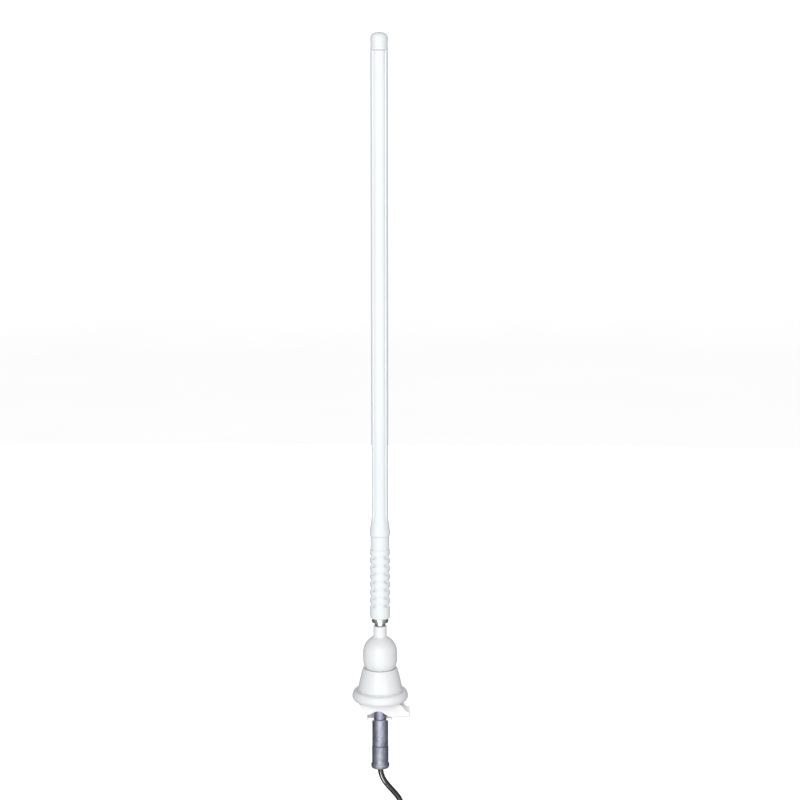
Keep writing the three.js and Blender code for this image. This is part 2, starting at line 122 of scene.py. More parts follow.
# ---------------------------------------------------------------- materials
class Finish:
    """A Principled material whose colour, roughness and bump come from noise over the surface."""

    def __init__(self, name, metallic=0.0, **sockets):
        self.material = bpy.data.materials.new(name)
        self.material.use_nodes = True
        self.tree = self.material.node_tree
        self.tree.nodes.clear()
        self.shader = self.tree.nodes.new("ShaderNodeBsdfPrincipled")
        output = self.tree.nodes.new("ShaderNodeOutputMaterial")
        self.tree.links.new(self.shader.outputs[0], output.inputs[0])
        self.place = self.tree.nodes.new("ShaderNodeTexCoord").outputs["Object"]
        self.shader.inputs["Metallic"].default_value = metallic
        for socket, value in sockets.items():
            self.shader.inputs[socket.replace("_", " ")].default_value = value

    def noise(self, scale, detail=4.0, stretch=(1, 1, 1), rough=0.55):
        """Noise in object space; a stretch below 1 draws it out along that axis."""
        mapping = self.tree.nodes.new("ShaderNodeMapping")
        mapping.inputs["Scale"].default_value = stretch
        texture = self.tree.nodes.new("ShaderNodeTexNoise")
        texture.inputs["Scale"].default_value = scale
        texture.inputs["Detail"].default_value = detail
        texture.inputs["Roughness"].default_value = rough
        self.tree.links.new(self.place, mapping.inputs["Vector"])
        self.tree.links.new(mapping.outputs[0], texture.inputs["Vector"])
        return texture.outputs["Fac"]

    def colour(self, factor, *stops):
        """Base colour from a ramp of (position, colour) stops."""
        ramp = self.tree.nodes.new("ShaderNodeValToRGB")
        elements = ramp.color_ramp.elements
        while len(elements) < len(stops):
            elements.new(0.5)
        for element, (position, colour) in zip(elements, stops):
            element.position = position
            element.color = (*colour, 1)
        self.tree.links.new(factor, ramp.inputs[0])
        self.tree.links.new(ramp.outputs[0], self.shader.inputs["Base Color"])

    def roughness(self, factor, smooth, rough):
        """Roughness that follows the factor between two values."""
        spread = self.tree.nodes.new("ShaderNodeMapRange")
        spread.inputs["From Min"].default_value = 0.3
        spread.inputs["From Max"].default_value = 0.7
        spread.inputs["To Min"].default_value = smooth
        spread.inputs["To Max"].default_value = rough
        self.tree.links.new(factor, spread.inputs["Value"])
        self.tree.links.new(spread.outputs[0], self.shader.inputs["Roughness"])

    def bump(self, factor, height_mm, strength=1.0):
        """Adds a bump of that height over any bump that is there already."""
        bump = self.tree.nodes.new("ShaderNodeBump")
        bump.inputs["Strength"].default_value = strength
        bump.inputs["Distance"].default_value = height_mm * MM
        socket = self.shader.inputs["Normal"]
        if socket.is_linked:
            self.tree.links.new(socket.links[0].from_socket, bump.inputs["Normal"])
        self.tree.links.new(factor, bump.inputs["Height"])
        self.tree.links.new(bump.outputs[0], socket)


def white_rubber():
    made = Finish("white_rubber", Specular_IOR_Level=0.42)
    broad = made.noise(28, 5, (1, 1, 0.25))
    made.colour(broad, (0.3, (0.80, 0.845, 0.87)), (0.7, (0.865, 0.90, 0.915)))
    made.roughness(made.noise(260, 3), 0.36, 0.5)
    made.bump(made.noise(2600, 2), 0.03, 0.35)
    made.bump(made.noise(90, 3, (1, 1, 0.12)), 0.05, 0.4)
    return made.material


def white_abs():
    made = Finish("white_abs", Specular_IOR_Level=0.5)
    broad = made.noise(45, 5)
    made.colour(broad, (0.3, (0.80, 0.82, 0.835)), (0.7, (0.87, 0.885, 0.895)))
    made.roughness(made.noise(340, 4), 0.26, 0.4)
    made.bump(made.noise(1500, 2), 0.02, 0.3)
    made.bump(made.noise(120, 2), 0.06, 0.3)
    return made.material


def white_coat():
    made = Finish("white_coat", Coat_Weight=0.35, Coat_Roughness=0.18)
    broad = made.noise(70, 5)
    made.colour(broad, (0.3, (0.87, 0.87, 0.885)), (0.7, (0.93, 0.93, 0.94)))
    made.roughness(made.noise(420, 4), 0.3, 0.46)
    made.bump(made.noise(900, 3), 0.03, 0.4)
    return made.material


def plated(name, dark, light, smooth, rough, grain=(1, 1, 0.06)):
    """Bright plated metal with fine draw lines and faint clouding."""
    made = Finish(name, metallic=1.0)
    cloud = made.noise(95, 6, (1, 1, 0.5))
    made.colour(cloud, (0.3, dark), (0.7, light))
    made.roughness(made.noise(650, 5, grain), smooth, rough)
    made.bump(made.noise(2400, 3, grain), 0.02, 0.5)
    made.bump(made.noise(160, 3), 0.05, 0.35)
    return made.material


def zinc():
    """Bluish zinc plate, clouded and spotted, with vertical draw lines."""
    made = Finish("zinc", metallic=1.0)
    cloud = made.noise(380, 6, (1, 1, 0.45), 0.7)
    made.colour(
        cloud,
        (0.36, (0.30, 0.31, 0.40)),
        (0.52, (0.41, 0.43, 0.51)),
        (0.66, (0.50, 0.52, 0.60)),
    )
    made.roughness(made.noise(650, 5, (1, 1, 0.08)), 0.48, 0.64)
    made.bump(made.noise(2200, 3, (1, 1, 0.1)), 0.02, 0.6)
    made.bump(made.noise(420, 4), 0.05, 0.5)
    return made.material


def black_pvc():
    made = Finish("black_pvc", Specular_IOR_Level=0.8, Coat_Weight=0.5, Coat_Roughness=0.12)
    dust = made.noise(240, 6)
    made.colour(dust, (0.35, (0.006, 0.006, 0.008)), (0.8, (0.03, 0.03, 0.034)))
    made.roughness(made.noise(520, 4), 0.12, 0.26)
    made.bump(made.noise(420, 3), 0.04, 0.4)
    return made.material


def dark_rubber():
    made = Finish("dark_rubber", Specular_IOR_Level=0.35)
    made.colour(made.noise(300, 6), (0.3, (0.012, 0.012, 0.013)), (0.75, (0.05, 0.05, 0.052)))
    made.roughness(made.noise(700, 4), 0.55, 0.8)
    made.bump(made.noise(1800, 3), 0.05, 0.6)
    return made.material


def nylon():
    made = Finish("nylon", Subsurface_Weight=0.15, Subsurface_Scale=0.002)
    made.colour(made.noise(130, 4), (0.3, (0.82, 0.79, 0.70)), (0.7, (0.89, 0.87, 0.80)))
    made.roughness(made.noise(500, 4), 0.4, 0.55)
    made.bump(made.noise(1400, 2), 0.03, 0.4)
    return made.material


MATERIALS = {
    "white_rubber": white_rubber(),
    "white_abs": white_abs(),
    "white_coat": white_coat(),
    "chrome": plated("chrome", (0.72, 0.71, 0.69), (0.84, 0.83, 0.80), 0.08, 0.2),
    "zinc": zinc(),
    "steel": plated("steel", (0.42, 0.42, 0.44), (0.58, 0.58, 0.6), 0.22, 0.4),
    "brass": plated("brass", (0.60, 0.47, 0.24), (0.76, 0.62, 0.35), 0.2, 0.38),
    "copper": plated("copper", (0.60, 0.30, 0.17), (0.78, 0.44, 0.28), 0.25, 0.42),
    "nylon": nylon(),
    "black_pvc": black_pvc(),
    "dark_rubber": dark_rubber(),
}
SLOT_OF = {row["node"]: row["material_slot"] for row in frame["record"]["subparts"]}
BODIES = frame["record"]["behaviour"]["bodies"]
BODY_OF = {node: body for body, nodes in BODIES.items() for node in nodes}

for node_name, node_object in frame["nodes"].items():
    for material_slot in node_object.material_slots:
        material_slot.material = MATERIALS[SLOT_OF[node_name]]


# ---------------------------------------------------------------- mesh tools
ON_AXIS = 1e-6  # mm: a smaller radius counts as a point on the axis
WELD = 1e-7  # m: vertices closer than this are one


def add_object(name, mesh):
    made = bpy.data.objects.new(name, mesh)
    bpy.context.scene.collection.objects.link(made)
    return made


def soften(mesh, sharp_degrees=34):
    """Smooth shading that keeps the edges sharper than sharp_degrees."""
    work = bmesh.new()
    work.from_mesh(mesh)
    bmesh.ops.recalc_face_normals(work, faces=work.faces)
    for face in work.faces:
        face.smooth = True
    for edge in work.edges:
        edge.smooth = edge.calc_face_angle(0) < math.radians(sharp_degrees)
    work.to_mesh(mesh)
    work.free()


def finish_piece(piece, node, rides=True, slot=None):
    """The piece stands for a CAD node, with that node's body and material unless told otherwise."""
    slot = slot or SLOT_OF[node]
    piece.data.materials.clear()
    piece.data.materials.append(MATERIALS[slot])
    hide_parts(node)
    if rides:
        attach(piece, BODY_OF[node])
    return piece


def named_piece(node, mesh, sharp=34, **how):
    soften(mesh, sharp)
    return finish_piece(add_object(f"{node}_piece", mesh), node, **how)


def evaluated(item):
    """A new mesh of the object as its curve or its modifiers shape it."""
    depsgraph = bpy.context.evaluated_depsgraph_get()
    return bpy.data.meshes.new_from_object(item.evaluated_get(depsgraph))


def rounded(profile, steps=4):
    """The profile with each corner that has a third value cut back by that many mm and rounded."""
    made = []
    count = len(profile)
    for i, corner in enumerate(profile):
        here = Vector((corner[0], corner[1]))
        if len(corner) < 3:
            made.append((here.x, here.y))
            continue
        before = Vector(profile[i - 1][:2])
        after = Vector(profile[(i + 1) % count][:2])
        reach = min(corner[2], (before - here).length * 0.49, (after - here).length * 0.49)
        start = here + (before - here).normalized() * reach
        end = here + (after - here).normalized() * reach
        for k in range(steps + 1):
            t = k / steps
            point = start * (1 - t) ** 2 + here * 2 * t * (1 - t) + end * t * t
            made.append((point.x, point.y))
    return made


def arc(cx, cz, radius, start, end, steps):
    """Points of an arc from one angle to another, in degrees."""
    angles = [math.radians(start + (end - start) * i / steps) for i in range(steps + 1)]
    return [(cx + radius * math.cos(a), cz + radius * math.sin(a)) for a in angles]


def revolve(profile, angles=96, shape=None):
    """Mesh of a profile of (radius, z) in mm about Z, at so many angles or at those listed.

    A profile that starts on the axis ends there too; any other is closed into a ring.
    shape(radius, z, angle) may change a radius.
    """
    if isinstance(angles, int):
        angles = [TURN * i / angles for i in range(angles)]
    closed = profile[0][0] > ON_AXIS
    vertices, rings = [], []
    for r, z in profile:
        if r < ON_AXIS:
            rings.append([len(vertices)])
            vertices.append((0, 0, z * MM))
            continue
        rings.append(list(range(len(vertices), len(vertices) + len(angles))))
        for a in angles:
            here = shape(r, z, a) if shape else r
            vertices.append((here * math.cos(a) * MM, here * math.sin(a) * MM, z * MM))
    faces = []
    pairs = list(zip(rings, rings[1:])) + ([(rings[-1], rings[0])] if closed else [])
    for a, b in pairs:
        for i in range(len(angles)):
            j = (i + 1) % len(angles)
            if len(a) == 1:
                faces.append((a[0], b[i], b[j]))
            elif len(b) == 1:
                faces.append((a[i], b[0], a[j]))
            else:
                faces.append((a[i], b[i], b[j], a[j]))
    mesh = bpy.data.meshes.new("turned")
    mesh.from_pydata(vertices, [], faces)
    return mesh


def turned(node, profile, angles=96, shape=None, sharp=34, **how):
    return named_piece(node, revolve(profile, angles, shape), sharp, **how)


def plate_mesh(outer, holes, bottom, top, bevel=0.15, steps=2):
    """Mesh of a flat plate with rounded edges, from outlines in mm, between two heights."""
    curve = bpy.data.curves.new("plate", "CURVE")
    curve.dimensions = "2D"
    curve.fill_mode = "BOTH"
    curve.extrude = ((top - bottom) / 2 - bevel) * MM
    curve.bevel_depth = bevel * MM
    curve.bevel_resolution = steps
    curve.offset = -bevel * MM
    for points in [outer, *holes]:
        spline = curve.splines.new("POLY")
        spline.points.add(len(points) - 1)
        for point, (x, y) in zip(spline.points, points):
            point.co = (x * MM, y * MM, 0, 1)
        spline.use_cyclic_u = True
    source = add_object("plate_source", curve)
    mesh = evaluated(source)
    bpy.data.objects.remove(source)
    bpy.data.curves.remove(curve)
    middle = (0, 0, (top + bottom) / 2 * MM)
    work = bmesh.new()
    work.from_mesh(mesh)
    bmesh.ops.remove_doubles(work, verts=work.verts, dist=WELD)
    bmesh.ops.translate(work, verts=work.verts, vec=middle)
    bmesh.ops.recalc_face_normals(work, faces=work.faces)
    work.to_mesh(mesh)
    work.free()
    return mesh


def box_mesh(corner, opposite):
    """Mesh of a box between two corners in mm."""
    a, b = Vector(corner) * MM, Vector(opposite) * MM
    place = Matrix.Translation((a + b) / 2) @ Matrix.Diagonal((*(b - a), 1))
    work = bmesh.new()
    bmesh.ops.create_cube(work, size=1)
    bmesh.ops.transform(work, matrix=place, verts=work.verts)
    mesh = bpy.data.meshes.new("box")
    work.to_mesh(mesh)
    work.free()
    return mesh


def moved(mesh, matrix):
    mesh.transform(matrix)
    return mesh


def shifted(mesh, x, y):
    return moved(mesh, Matrix.Translation((x * MM, y * MM, 0)))


def combine(mesh, operation, *others):
    """The mesh joined with, cut by or kept within the other meshes."""
    piece = add_object("work", mesh)
    helpers = []
    for other in others:
        helper = add_object("helper", other)
        helpers.append(helper)
        modifier = piece.modifiers.new("boolean", "BOOLEAN")
        modifier.operation = operation
        modifier.solver = "EXACT"
        modifier.object = helper
    made = evaluated(piece)
    for item in [piece, *helpers]:
        bpy.data.objects.remove(item)
    return made


def bevelled(mesh, width_mm, segments=2, angle=40):
    """The mesh with each edge that is sharper than the angle, in degrees, rounded."""
    piece = add_object("work", mesh)
    modifier = piece.modifiers.new("bevel", "BEVEL")
    modifier.width = width_mm * MM
    modifier.segments = segments
    modifier.limit_method = "ANGLE"
    modifier.angle_limit = math.radians(angle)
    made = evaluated(piece)
    bpy.data.objects.remove(piece)
    return made


def circle(radius, steps=48, x=0.0, y=0.0):
    return [
        (x + radius * math.cos(TURN * i / steps), y + radius * math.sin(TURN * i / steps))
        for i in range(steps)
    ]


# ---------------------------------------------------------------- lead
CABLE_RADIUS = 2.4
TAIL_ROUTE = [  # out of the grommet, down and across to the hank
    (0, 0, -44.8), (0, 0, -50), (0, 0, -56), (0, 0, -61), (0.4, 0, -65.7), (1.6, 0.1, -70.2),
    (3.6, 0.4, -74.5), (5.7, 0.9, -77.6), (9.7, 1.9, -82.8), (13.7, 3.1, -87.9),
    (15.8, 3.7, -91), (17.8, 4.3, -95.3), (19, 4.7, -99.8), (19.4, 4.8, -104.5),
    (19.4, 4.8, -110.5),
]
END_ROUTE = [  # from the hank's inner turn to the plug, in the middle of the hank
    (14.3, 4.7, -122.5), (12.9, 4.2, -127.5), (10.3, 3.4, -132), (7.1, 2.3, -136),
    (4, 1.3, -140), (1.6, 0.5, -144.4), (0.2, 0.1, -149), (0, 0, -153.8),
]
HANK_TOP = -118.8  # height of the upper folds' centre
HANK_RUN = 71.5  # length of the straight legs
OUTER, INNER = 19.4, 14.6  # radii of the folds, a diameter apart
HANK_TURNS = [(OUTER, 4.8), (OUTER, 0), (OUTER, -4.8), (INNER, -4.8), (INNER, 0), (INNER, 4.8)]
ON_LEG = (0.14, 0.28, 0.42, 0.57, 0.72, 0.86)  # shares of a leg at which it has a point
FOLD_STEPS = 9
NUDGE = 1.8  # how far the strand that changes to the inner turns passes outside the others


def hank_points():
    """Five turns: down the right, round the bottom, up the left to the next turn, over the top."""
    points = []
    bottom = HANK_TOP - HANK_RUN
    for (r, y), (next_r, next_y) in zip(HANK_TURNS, HANK_TURNS[1:]):
        points += [(r, y, HANK_TOP - HANK_RUN * t) for t in (0, *ON_LEG)]
        points += [(x, y, z) for x, z in arc(0, bottom, r, 0, -180, FOLD_STEPS)]
        for t in ON_LEG:
            ease = t * t * (3 - 2 * t)
            out = NUDGE * math.sin(math.pi * t) if r != next_r else 0
            x = -(r + (next_r - r) * ease)
            points.append((x, y + (next_y - y) * ease - out, bottom + HANK_RUN * t))
        points += [(x, next_y, z) for x, z in arc(0, HANK_TOP, next_r, 180, 0, FOLD_STEPS)][:-1]
    points.append((*HANK_TURNS[-1], HANK_TOP))
    return points


def round_curve(name, radius, resolution):
    """An empty curve that is drawn as a round rod with closed ends."""
    curve = bpy.data.curves.new(name, "CURVE")
    curve.dimensions = "3D"
    curve.bevel_depth = radius * MM
    curve.bevel_resolution = resolution
    curve.use_fill_caps = True
    return curve


def make_lead(points):
    curve = round_curve("lead", CABLE_RADIUS, 6)
    curve.resolution_u = 6
    spline = curve.splines.new("BEZIER")
    spline.bezier_points.add(len(points) - 1)
    for bezier, point in zip(spline.bezier_points, points):
        bezier.co = Vector(point) * MM
        bezier.handle_left_type = "AUTO"
        bezier.handle_right_type = "AUTO"
    lead = add_object("lead", curve)
    curve.materials.append(MATERIALS["black_pvc"])
    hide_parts("cable_tail", "cable_hank", "cable_end")
    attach(lead, BODY_OF["cable_tail"])
    return lead


lead = make_lead(TAIL_ROUTE + hank_points() + END_ROUTE)


# ---------------------------------------------------------------- ties and plug
TIE_BAND = 1.1
PLUG_RIDGES = 5


def round_cornered(low_corner, high_corner, inset, corner):
    """Outline of a rectangle that lies so far inside two corners."""
    x0, y0 = low_corner.x + inset, low_corner.y + inset
    x1, y1 = high_corner.x - inset, high_corner.y - inset
    return rounded([(x0, y0, corner), (x1, y0, corner), (x1, y1, corner), (x0, y1, corner)], 6)


def cable_tie(node, out):
    """A tie round one leg of the hank, with its locking head and cut end on the side out."""
    start, end = corners(node)
    z0, z1 = start.z, end.z
    outline = round_cornered(start, end, 0, 3.2)
    opening = round_cornered(start, end, TIE_BAND, 2.4)
    loop = plate_mesh(outline, [opening], z0, z1, 0.25)
    centre = (start.x + end.x) / 2
    inner, outer = sorted((centre + out * 4.6, centre + out * 9.4))
    head = bevelled(box_mesh((inner, 1.0, z0 - 0.7), (outer, 5.6, z1 + 0.7)), 0.5, 3)
    inner, outer = sorted((centre + out * 7.6, centre + out * 8.8))
    stub = bevelled(box_mesh((inner, -1.6, z0 + 0.2), (outer, 1.6, z1 - 0.2)), 0.2)
    return named_piece(node, combine(loop, "UNION", head, stub))


def plug_shell():
    bottom, top = span("plug_shell")
    profile = rounded([
        (0, top), (4.4, top, 0.4), (4.8, top - 0.8, 0.3), (4.8, top - 5.4, 0.2),
        (4.45, top - 5.8, 0.2), (4.45, top - 7.2, 0.2), (4.75, top - 7.7, 0.2),
        (4.55, bottom + 5, 1), (4.8, bottom + 1.4, 0.5), (4.5, bottom, 0.3), (3.9, bottom, 0.2),
        (3.9, top - 2), (0, top - 2),
    ])

    def knurl(r, z, a):
        """Fine ribs round the grip."""
        grip = top - 5.2 < z < top - 0.7 and r > 4.6
        return r - 0.12 * (1 + math.cos(a * 36)) / 2 if grip else r

    mesh = revolve(profile, 144, knurl)
    slots = []
    for angle in (0.4, 0.4 + TURN / 4):
        slot = box_mesh((-7, -0.35, bottom - 1), (7, 0.35, bottom + 8.5))
        slots.append(moved(slot, Matrix.Rotation(angle, 4, "Z")))
    return named_piece("plug_shell", combine(mesh, "DIFFERENCE", *slots))


def plug_boot():
    bottom, top = span("plug_boot")
    profile = [(0, top), (2.9, top), (3.25, top - 0.5)]
    for i in range(PLUG_RIDGES):
        z = top - 1.6 - i * 1.7
        r = 3.35 + 0.2 * i
        profile += [(r, z + 0.5), (r - 0.45, z + 0.15), (r - 0.45, z - 0.35), (r + 0.1, z - 0.7)]
    profile += [(4.5, top - 10.6), (4.7, top - 11.6), (4.7, bottom + 0.5), (4.3, bottom)]
    profile.append((0, bottom))
    return turned("plug_boot", profile, 64)


def plug_pin():
    bottom, top = span("plug_pin")
    profile = rounded([
        (0, top), (1.6, top, 0.2), (1.6, bottom + 4.2, 0.2), (1.35, bottom + 3.6, 0.2),
        (1.35, bottom + 2.8, 0.2), (1.6, bottom + 2.2, 0.3), (1.3, bottom + 0.7, 0.4),
        (0.7, bottom, 0.4), (0, bottom),
    ])
    return turned("plug_pin", profile, 48)


def plug_insulator():
    bottom, top = span("plug_insulator")
    profile = rounded([(1.9, bottom, 0.2), (3.6, bottom, 0.4), (3.6, top, 0.2), (1.9, top, 0.2)])
    return turned("plug_insulator", profile, 64)


ties = [cable_tie("cable_tie_left", -1), cable_tie("cable_tie_right", 1)]
on_the_lead = [*ties, plug_shell(), plug_boot(), plug_pin(), plug_insulator()]


# ---------------------------------------------------------------- mast
SLEEVE_RADIUS = 7.25
SLEEVE_BORE = 3.4
STRAIGHT_FROM = 171  # height above which the sleeve is straight
STRAIGHT_STEPS = 24
SOCKET_RADIUS = 5.75  # bore of the boot, and of the sleeve's skirt round the core's ferrule
SOCKET_TOP = 150.9
FLUTES = 4
FLUTE_DEPTH = 1.1
FLUTE_RADIUS = 1.25
FLUTE_START, FLUTE_FULL = 156, 168  # heights between which a flute deepens
FLUTE_STEPS, LOBE_STEPS = 12, 16  # facets across a flute and between two flutes


def fluted(r, z, angle):
    """Radius of the sleeve where a round cutter runs along each flute."""
    share = min(max((z - FLUTE_START) / (FLUTE_FULL - FLUTE_START), 0), 1)
    on_the_outside = r > SOCKET_RADIUS + 0.25
    if not on_the_outside or not share:
        return r
    step = TURN / FLUTES
    off = abs(angle % step - step / 2)
    centre = r + FLUTE_RADIUS - FLUTE_DEPTH * share
    reach = FLUTE_RADIUS**2 - (centre * math.sin(off)) ** 2
    if reach <= 0:
        return r
    return min(r, centre * math.cos(off) - math.sqrt(reach))


def flute_angles():
    """Angles close together across each flute, with one on each of its edges."""
    step = TURN / FLUTES
    centre = SLEEVE_RADIUS + FLUTE_RADIUS - FLUTE_DEPTH
    edge = math.acos(
        (centre**2 + SLEEVE_RADIUS**2 - FLUTE_RADIUS**2) / (2 * centre * SLEEVE_RADIUS)
    )
    angles = []
    for i in range(FLUTES):
        across = [-edge + 2 * edge * k / FLUTE_STEPS for k in range(FLUTE_STEPS + 1)]
        lobe = [edge + (step - 2 * edge) * k / LOBE_STEPS for k in range(1, LOBE_STEPS)]
        angles += [(i + 0.5) * step + a for a in across + lobe]
    return angles


def mast_sleeve():
    bottom, top = span("mast_sleeve")
    outer = rounded([
        (SOCKET_RADIUS, bottom, 0.3), (9.0, bottom, 0.3), (9.05, bottom + 2, 1),
        (8.86, bottom + 4.6, 2), (8.35, 154.6, 1), (8.12, 156), (7.93, 157.3), (7.75, 158.5, 1),
        (7.62, 160), (7.5, 161.2), (7.38, 162.5, 1), (7.3, 165), (SLEEVE_RADIUS, 168, 2),
        (SLEEVE_RADIUS, STRAIGHT_FROM),
    ], 3)
    rise = (top - 1 - STRAIGHT_FROM) / STRAIGHT_STEPS
    outer += [(SLEEVE_RADIUS, STRAIGHT_FROM + rise * k) for k in range(1, STRAIGHT_STEPS + 1)]
    inner = [
        (SLEEVE_RADIUS - 0.2, top), (SLEEVE_BORE, top), (SLEEVE_BORE, SOCKET_TOP),
        (SOCKET_RADIUS, SOCKET_TOP),
    ]
    return turned("mast_sleeve", outer + inner, flute_angles(), fluted, 24)


def tip_cap():
    bottom, top = span("tip_cap")
    rim = high("mast_sleeve") + GAP
    profile = rounded([
        (0, bottom), (2.9, bottom, 0.3), (3.1, bottom + 1, 0.3), (3.1, rim),
        (7.15, rim, 0.35), (7.42, rim + 0.7, 0.4), (7.35, rim + 3, 1),
    ], 4)
    profile += arc(2.7, top - 4.9, 4.6, 0, 78, 12)
    profile += [(2.2, top - 0.18), (0.9, top - 0.04), (0, top)]
    return turned("tip_cap", profile)


BOOT_RIB = 8.7
BOOT_BAND = 8.25  # radius above the step
BOOT_STEP = 133.6
GROOVES = [85.2 + 7.12 * i for i in range(7)]  # heights of the grooves
GROOVE_HALF = 1.65
GROOVE_STEPS = 10
PIT_AT = math.radians(38)  # angle of a pit's middle from the X axis, on both sides of it
PIT_SPREAD = math.radians(17)


def grooved(r, z, angle):
    """The boot's grooves are shallow, and each sinks into four pits between front and sides."""
    if r < BOOT_BAND:
        return r
    nearest = min(abs(z - g) for g in GROOVES)
    if nearest >= GROOVE_HALF:
        return r
    across = (0.5 + 0.5 * math.cos(math.pi * nearest / GROOVE_HALF)) ** 0.5
    side = abs(math.cos(angle)) ** 1.5
    from_side = math.acos(min(abs(math.cos(angle)), 1))
    pit = math.exp(-(((from_side - PIT_AT) / PIT_SPREAD) ** 2))
    return r - across * (0.32 + 0.3 * side + 1.85 * pit)


def flex_boot():
    bottom, top = span("flex_boot")
    profile = [(SOCKET_RADIUS, bottom), (7.6, bottom), (8.25, bottom + 0.18), (8.6, bottom + 0.65)]
    profile += [(BOOT_RIB, bottom + 1.4), (BOOT_RIB, GROOVES[0] - 2.4)]
    for g in GROOVES:
        half = GROOVE_STEPS // 2
        profile += [(BOOT_RIB, g + GROOVE_HALF * k / half) for k in range(-half, half + 1)]
        profile.append((BOOT_RIB, g + 2.8))
    profile += [(BOOT_RIB, BOOT_STEP), (BOOT_RIB - 0.15, BOOT_STEP + 0.6)]
    profile += [(BOOT_BAND - 0.45, BOOT_STEP + 0.9), (BOOT_BAND - 0.45, BOOT_STEP + 1.35)]
    profile += [(BOOT_BAND, z) for z in (BOOT_STEP + 1.6, 138, 142, top)]
    profile.append((SOCKET_RADIUS, top))
    steps = 12
    profile += [(SOCKET_RADIUS, top + (bottom - top) * k / steps) for k in range(1, steps)]
    return turned("flex_boot", profile, 112, grooved, 40, rides=False)


def flex_spring():
    """The coil spring inside the boot."""
    bottom, top = span("flex_spring")
    wire = 0.55
    coils = 17
    radius = 5.4 - wire
    curve = round_curve("spring", wire, 2)
    steps = coils * 20
    spline = curve.splines.new("POLY")
    spline.points.add(steps)
    for i, point in enumerate(spline.points):
        angle = TURN * coils * i / steps
        z = bottom + wire + (top - bottom - 2 * wire) * i / steps
        point.co = (radius * math.cos(angle) * MM, radius * math.sin(angle) * MM, z * MM, 1)
    source = add_object("spring_source", curve)
    mesh = evaluated(source)
    bpy.data.objects.remove(source)
    bpy.data.curves.remove(curve)
    return named_piece("flex_spring", mesh, rides=False)


def mast_ferrule():
    """Twelve-sided nut with a turned edge below, on its round socket."""
    bottom, top = span("mast_ferrule")
    shoulder = low("flex_boot") - GAP
    flats = [TURN * (i + 0.5) / 12 for i in range(12)]
    nut = revolve([(0, bottom), (7.5, bottom), (7.5, shoulder), (0, shoulder)], flats)
    turned_edge = revolve([
        (0, bottom - 1), (6.6, bottom - 0.1), (7.5, bottom + 0.9), (7.5, shoulder + 1),
        (0, shoulder + 1),
    ])
    body = bevelled(combine(nut, "INTERSECT", turned_edge), 0.1, 2, 20)
    socket = revolve([(0, shoulder - 0.5), (5.4, shoulder - 0.5), (5.4, top), (0, top)], 48)
    bore = revolve([(0, bottom - 2), (2.8, bottom - 2), (2.8, 83), (0, 83)], 48)
    mesh = combine(combine(body, "UNION", socket), "DIFFERENCE", bore)
    return named_piece("mast_ferrule", mesh, 20)


PIVOT_Z = 36.5  # centre of the ball, and height of the tilt pin
PIN_HOLE = 2.3
BALL_RADIUS = 14.85
BALL_INSIDE = 12.6
BAND_Z = 42.5  # top of the ball's straight band
NECK_RADIUS = 5.8
NECK_INSIDE = 4.2


def ball_cover():
    """The hollow ball and its neck, with a slot below for the tilt."""
    neck_top = high("ball_cover")
    profile = [(0, PIVOT_Z - BALL_RADIUS)] + arc(0, PIVOT_Z, BALL_RADIUS, -88, 0, 24)
    profile += arc(-0.75, BAND_Z, BALL_RADIUS + 0.75, 0, 62, 20)
    profile += rounded([
        (6.7, 56.2), (5.85, 57.1, 1.2), (NECK_RADIUS, 60), (NECK_RADIUS, neck_top, 0.5),
        (NECK_INSIDE, neck_top), (NECK_INSIDE, 56), (6.6, 54), (9.4, 51.6), (11.6, 48),
        (BALL_INSIDE, BAND_Z),
    ], 5)[1:]
    profile += arc(0, PIVOT_Z, BALL_INSIDE, 0, -88, 12) + [(0, PIVOT_Z - BALL_INSIDE)]
    shell = revolve(profile, 112)
    slot = revolve([(0, 20), (1, 20), (1, 31), (0, 31)], 64)
    slot.transform(Matrix.Diagonal((8.0, 10.4, 1, 1)))
    return named_piece("ball_cover", combine(shell, "DIFFERENCE", slot), 30)


# stands a flat plate up: its own X, Y and Z become Y, Z and X
UPRIGHT = Matrix(((0, 0, 1, 0), (1, 0, 0, 0), (0, 1, 0, 0), (0, 0, 0, 1)))


def pinned_plate(outline, x0, x1, edge):
    """An upright plate between two places on the X axis, with the hole for the tilt pin."""
    return moved(plate_mesh(outline, [circle(PIN_HOLE, 32, 0, PIVOT_Z)], x0, x1, edge), UPRIGHT)


def ball_clevis():
    """The fork and its stud, with the collar that shows under the ferrule and is as bright."""
    top = high("ball_clevis")
    thread = []
    for k in range(15):
        z = 70.2 + 0.8 * k
        thread += [(2.2, z), (2.5, z + 0.4)]
    profile = [(0, 43.2), (6.9, 43.2), (7.2, 43.5), (7.2, 49.8), (6.8, 50.2), (3.4, 52)]
    profile += rounded([(3.4, 66.5), (4.6, 66.5, 0.25), (4.6, 69, 0.35), (2.5, 69)])
    profile += [(2.2, 69.3), *thread, (2.0, top), (0, top)]
    mesh = revolve(profile, 48)
    outline = [(3.6, 45), (-3.6, 45)] + arc(0, PIVOT_Z, 6, 180, 360, 28)
    ears = [pinned_plate(outline, x0, x1, 0.2) for x0, x1 in ((-6, -3.4), (3.4, 6))]
    return named_piece("ball_clevis", combine(mesh, "UNION", *ears), 30, slot="chrome")


# ---------------------------------------------------------------- swivel
def swivel_post():
    profile = rounded([
        (0, 2), (1.6, 2, 0.5), (1.6, 13.6), (4, 13.6, 0.3), (4, 14.5), (3.2, 14.5), (3.2, 15.8),
        (4, 15.8), (4, 19.9), (6, 19.9, 0.2), (6, 21.5, 0.3), (3, 21.5, 0.5), (3, 30), (0, 30),
    ])
    stem = revolve(profile, 48)
    outline = [(-3, 27), (3, 27)] + arc(0, PIVOT_Z, 5.5, -52, 232, 24)
    eye = pinned_plate(outline, -2.2, 2.2, 0.25)
    return named_piece("swivel_post", combine(stem, "UNION", eye), 30)


